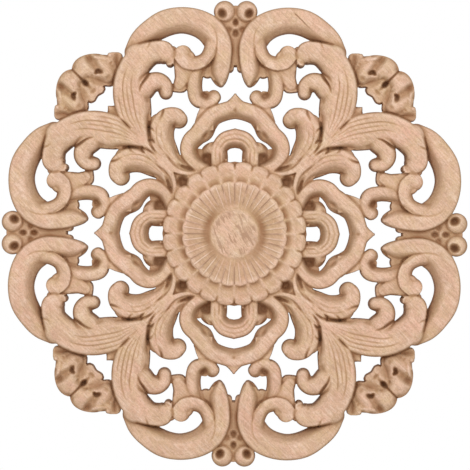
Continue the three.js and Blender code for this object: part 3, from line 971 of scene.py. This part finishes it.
@dataclass
class Rosette:
    """The carved rosette: one eighth modelled, closed behind and turned into the round."""

    radius: float = RADIUS
    thickness: float = THICKNESS
    faces: int = 195000
    crease: float = 42.0
    eighth_width: float = 74.0
    edge_cells: float = 1.2
    edge_rounds: int = 4
    least_slope: float = 0.25
    plane_cells: float = 0.2
    hair: float = 1e-7
    weld: float = 1e-6
    back_depth: float = 1e-5
    back_inset: float = 5.0
    relief: Relief = field(default_factory=Relief)

    def build(self) -> Piece:
        """Builds the piece.

        Returns:
            The finished, dressed object.
        """
        self.relief.carve()
        piece = self._sheet()
        self._thin_out(piece)
        self._close_behind(piece)
        self._thin_out(piece)
        self._copy_round(piece)
        self._mark_tone(piece)
        piece.data.materials.append(RawWood().material())
        return piece

    def _sheet(self) -> Piece:
        """Lays a fine grid over the eighth, trims it to the outline and raises the carving.

        Returns:
            The open sheet.
        """
        step = self.relief.step
        wide, tall = int(round(self.eighth_width / step)), int(round(self.relief.reach / step))
        bpy.ops.object.select_all(action="DESELECT")
        bpy.ops.mesh.primitive_grid_add(x_subdivisions=wide, y_subdivisions=tall, size=1.0)
        piece = bpy.context.object
        piece.name = piece.data.name = "carved_rosette_relief"
        mesh = piece.data
        spots = read_spots(piece)
        x = np.round((spots[:, 0] + 0.5) * wide) * step
        y = np.round((spots[:, 1] + 0.5) * tall) * step
        corners = np.empty(len(mesh.loops), dtype=np.int64)
        mesh.loops.foreach_get("vertex_index", corners)
        corners = corners.reshape(-1, 4)
        middle_x, middle_y = x[corners].mean(1), y[corners].mean(1)
        kept = (self.relief.inside(middle_x, middle_y) > 0) & (middle_y > middle_x - step / 4)
        row, column = (middle_y / step).astype(int), (middle_x / step).astype(int)
        cells = np.zeros((tall, wide), dtype=bool)
        cells[row, column] = kept
        kept = self._join_corners(cells)[row, column]
        x, y = self._to_outline(x, y, corners, kept)
        level = self.relief.read(self.relief.height, x, y)
        spots[:, 0] = x / 100 * self.radius
        spots[:, 1] = -level / 100 * self.thickness
        spots[:, 2] = y / 100 * self.radius
        set_spots(piece, spots)
        mesh.polygons.foreach_set("select", ~kept)
        self._edit("FACE")
        bpy.ops.mesh.delete(type="FACE")
        bpy.ops.mesh.select_all(action="SELECT")
        bpy.ops.mesh.bisect(plane_co=(0, 0, 0), plane_no=(1, 0, -1), clear_outer=True, threshold=self.hair)
        bpy.ops.object.mode_set(mode="OBJECT")
        self._set_planes(piece)
        return piece

    def _join_corners(self, cells: Grid) -> Grid:
        """Keeps all four cells wherever two meet only at a corner, so that the rim never touches itself.

        Args:
            cells: Which cells stay, by row and column.

        Returns:
            Which cells stay now.
        """
        fours = cells[:-1, :-1], cells[1:, 1:], cells[:-1, 1:], cells[1:, :-1]
        while True:
            a, b, c, d = fours
            slanting = (a & b & ~c & ~d) | (c & d & ~a & ~b)
            if not slanting.any():
                return cells
            for four in fours:
                four |= slanting

    def _to_outline(self, x: Grid, y: Grid, corners: Grid, kept: Grid) -> tuple[Grid, Grid]:
        """Moves the sheet's ragged edge onto the true outline.

        Args:
            x: Places across.
            y: Places up.
            corners: The corners of each cell.
            kept: Which cells stay.

        Returns:
            The new places.
        """
        inside = self.relief.inside
        used, around = np.zeros(len(x), dtype=int), np.zeros(len(x), dtype=int)
        np.add.at(used, corners[kept].ravel(), 1)
        np.add.at(around, corners.ravel(), 1)
        edge = np.flatnonzero((used > 0) & (used < around))
        edge = edge[np.abs(inside(x[edge], y[edge])) < self.edge_cells * self.relief.step]
        ex, ey = x[edge], y[edge]
        on_crown, on_leaf = ex == 0, ex == ey
        probe = self.relief.step / 2
        for _ in range(self.edge_rounds):
            here = inside(ex, ey)
            gx = (inside(ex + probe, ey) - inside(ex - probe, ey)) / (2 * probe)
            gy = (inside(ex, ey + probe) - inside(ex, ey - probe)) / (2 * probe)
            size = np.maximum(gx**2 + gy**2, self.least_slope)
            ex = ex - np.clip(here * gx / size, -probe, probe)
            ey = ey - np.clip(here * gy / size, -probe, probe)
            ex = np.where(on_crown, 0.0, ex)
            middle = (ex + ey) / 2
            ex, ey = np.where(on_leaf, middle, ex), np.where(on_leaf, middle, ey)
        x, y = x.copy(), y.copy()
        x[edge], y[edge] = ex, ey
        return x, y

    def _edit(self, mode: str) -> None:
        """Enters edit mode with the given selection mode."""
        bpy.context.tool_settings.mesh_select_mode = (mode == "VERT", mode == "EDGE", mode == "FACE")
        bpy.ops.object.mode_set(mode="EDIT")

    def _pick(self, piece: Piece) -> None:
        """Selects the piece alone and makes it the active one."""
        bpy.ops.object.select_all(action="DESELECT")
        piece.select_set(True)
        bpy.context.view_layer.objects.active = piece

    def _thin_out(self, piece: Piece) -> None:
        """Thins the eighth where it is nearly flat, down to its share of the faces."""
        self._pick(piece)
        triangles = sum(len(face.vertices) - 2 for face in piece.data.polygons)
        thin = piece.modifiers.new("thin", "DECIMATE")
        thin.ratio = self.faces / 8 / triangles
        bpy.ops.object.modifier_apply(modifier=thin.name)
        self._set_planes(piece)
        log.info("eighth thinned from %d to %d faces", triangles, len(piece.data.polygons))

    def _set_planes(self, piece: Piece) -> None:
        """Sets what lies next to the two seams or the back exactly on their planes."""
        spots = read_spots(piece)
        slack = self.relief.step / 100 * self.radius * self.plane_cells
        crown = np.abs(spots[:, 0]) < slack
        leaf = np.abs(spots[:, 0] - spots[:, 2]) < slack
        spots[leaf, 0] = spots[leaf, 2] = (spots[leaf, 0] + spots[leaf, 2]) / 2
        spots[crown, 0] = 0.0
        spots[crown & leaf, 2] = 0.0
        spots[np.abs(spots[:, 1]) < slack, 1] = 0.0
        set_spots(piece, spots)

    def _close_behind(self, piece: Piece) -> None:
        """Draws the sheet's rim back to the wall, fills the back, and opens the two seams."""
        self._edit("EDGE")
        bpy.ops.mesh.select_all(action="DESELECT")
        bpy.ops.mesh.select_non_manifold(
            extend=False, use_wire=False, use_boundary=True, use_multi_face=False,
            use_non_contiguous=False, use_verts=False,
        )
        bpy.ops.mesh.extrude_region_move()
        bpy.ops.object.mode_set(mode="OBJECT")
        chosen = np.zeros(len(piece.data.vertices), dtype=bool)
        piece.data.vertices.foreach_get("select", chosen)
        spots = read_spots(piece)
        spots[chosen, 1] = 0.0
        set_spots(piece, spots)
        self._edit("EDGE")
        bpy.ops.mesh.fill(use_beauty=False)
        bpy.ops.object.mode_set(mode="OBJECT")
        spots = read_spots(piece)
        seam = np.array([
            all(spots[v, 0] == 0.0 for v in face.vertices)
            or all(spots[v, 0] == spots[v, 2] for v in face.vertices)
            for face in piece.data.polygons
        ])
        piece.data.polygons.foreach_set("select", seam)
        self._edit("FACE")
        bpy.ops.mesh.delete(type="FACE")
        bpy.ops.object.mode_set(mode="OBJECT")

    def _copy_round(self, piece: Piece) -> None:
        """Mirrors the eighth, turns the quarter round the middle and makes one closed skin of it."""
        mirror = piece.modifiers.new("mirror", "MIRROR")
        mirror.use_axis = (True, False, False)
        mirror.merge_threshold = self.hair
        bpy.ops.object.modifier_apply(modifier=mirror.name)
        self._pick(piece)
        spots = read_spots(piece)
        for _ in range(3):
            spots = np.stack([spots[:, 2], spots[:, 1], -spots[:, 0]], axis=1)
            copy = piece.copy()
            copy.data = piece.data.copy()
            bpy.context.collection.objects.link(copy)
            set_spots(copy, spots)
            copy.select_set(True)
        bpy.ops.object.join()
        self._edit("VERT")
        bpy.ops.mesh.select_all(action="SELECT")
        bpy.ops.mesh.remove_doubles(threshold=self.weld)
        bpy.ops.mesh.normals_make_consistent(inside=False)
        bpy.ops.mesh.quads_convert_to_tris()
        bpy.ops.mesh.select_all(action="DESELECT")
        bpy.ops.mesh.select_non_manifold()
        bpy.ops.object.mode_set(mode="OBJECT")
        open_spots = sum(v.select for v in piece.data.vertices)
        log.info("closed skin of %d triangles, %d loose spots", len(piece.data.polygons), open_spots)
        bpy.ops.object.shade_smooth_by_angle(angle=math.radians(self.crease))

    def _mark_tone(self, piece: Piece) -> None:
        """Stores each spot's painted shade and painted light, and how far inside the outline it lies."""
        spots = read_spots(piece)
        x, y = spots[:, 0] / self.radius * 100, spots[:, 2] / self.radius * 100
        front = spots[:, 1] < -self.back_depth
        for name, grid, behind in (
            ("hollow_shade", self.relief.hollow_shade, 0.0),
            ("ridge_light_shade", self.relief.ridge_light_shade, 0.0),
            ("inset", self.relief.margin, self.back_inset),
        ):
            tone = np.where(front, self.relief.read(grid, x, y), behind)
            layer = piece.data.attributes.new(name, "FLOAT", "POINT")
            layer.data.foreach_set("value", tone)


@dataclass
class Studio:
    """The pale floor, the soft light and the camera straight before the face."""

    span: float = 0.30193
    aside: float = 0.00032
    down: float = -0.00080
    roll: float = -0.3
    distance: float = 0.9
    floor_level: float = -0.175
    floor_size: float = 4.0
    page_light: float = 0.75
    lamp_before: float = 2.4
    lamp_above: float = 0.30
    lamp_size: float = 3.2
    lamp_power: float = 59.0

    def build(self) -> None:
        """Sets up the floor, lights, world and camera."""
        self._floor()
        self._world()
        self._lamp()
        self._camera()
        bpy.context.scene.view_settings.view_transform = "Standard"

    def _floor(self) -> None:
        """Lays a pale floor under the rosette."""
        bpy.ops.object.select_all(action="DESELECT")
        bpy.ops.mesh.primitive_plane_add(size=self.floor_size, location=(0, 0, 0))
        floor = bpy.context.object
        floor.name = "floor"
        spots = read_spots(floor)
        spots[:, 2] = self.floor_level
        set_spots(floor, spots)
        finish = Finish("pale_floor")
        floor.data.materials.append(finish.surface({"Base Color": (0.8, 0.79, 0.77, 1.0), "Roughness": 0.9}))

    def _world(self) -> None:
        """Makes a white page that lights the piece softly from all sides."""
        world = bpy.data.worlds.new("page")
        world.use_nodes = True
        tree = world.node_tree
        tree.nodes.clear()
        path, mix, out = (
            tree.nodes.new("ShaderNode" + kind) for kind in ("LightPath", "MixShader", "OutputWorld")
        )
        tree.links.new(path.outputs["Is Camera Ray"], mix.inputs[0])
        for slot, strength in ((1, self.page_light), (2, 1.0)):
            page = tree.nodes.new("ShaderNodeBackground")
            page.inputs["Color"].default_value = (1, 1, 1, 1)
            page.inputs["Strength"].default_value = strength
            tree.links.new(page.outputs[0], mix.inputs[slot])
        tree.links.new(mix.outputs[0], out.inputs[0])
        bpy.context.scene.world = world

    def _lamp(self) -> None:
        """Adds a soft square light that faces the rosette from before and above it."""
        data = bpy.data.lights.new("front_light", "AREA")
        data.size = self.lamp_size
        data.energy = self.lamp_power
        lamp = bpy.data.objects.new("front_light", data)
        lamp.location = (0.0, -self.lamp_before, self.lamp_above)
        lamp.rotation_euler = (math.pi / 2 - math.atan2(self.lamp_above, self.lamp_before), 0, 0)
        lamp.visible_camera = False
        bpy.context.collection.objects.link(lamp)

    def _camera(self) -> None:
        """Stands the camera straight before the middle of the face."""
        data = bpy.data.cameras.new("camera")
        data.type = "ORTHO"
        data.ortho_scale = self.span
        camera = bpy.data.objects.new("camera", data)
        camera.location = (self.aside, -self.distance, self.down)
        camera.rotation_euler = (math.pi / 2, math.radians(self.roll), 0)
        bpy.context.collection.objects.link(camera)
        bpy.context.scene.camera = camera


def main() -> None:
    """Builds the studio and the rosette, hangs it on its body and logs its triangle count."""
    logging.basicConfig(level=logging.INFO, format="%(message)s")
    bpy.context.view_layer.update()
    Studio().build()
    rosette = Rosette().build()
    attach(rosette, "root")
    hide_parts(NODE)
    log.info("piece %s: %d triangles", rosette.name, len(rosette.data.polygons))


if __name__ == "__main__":
    main()
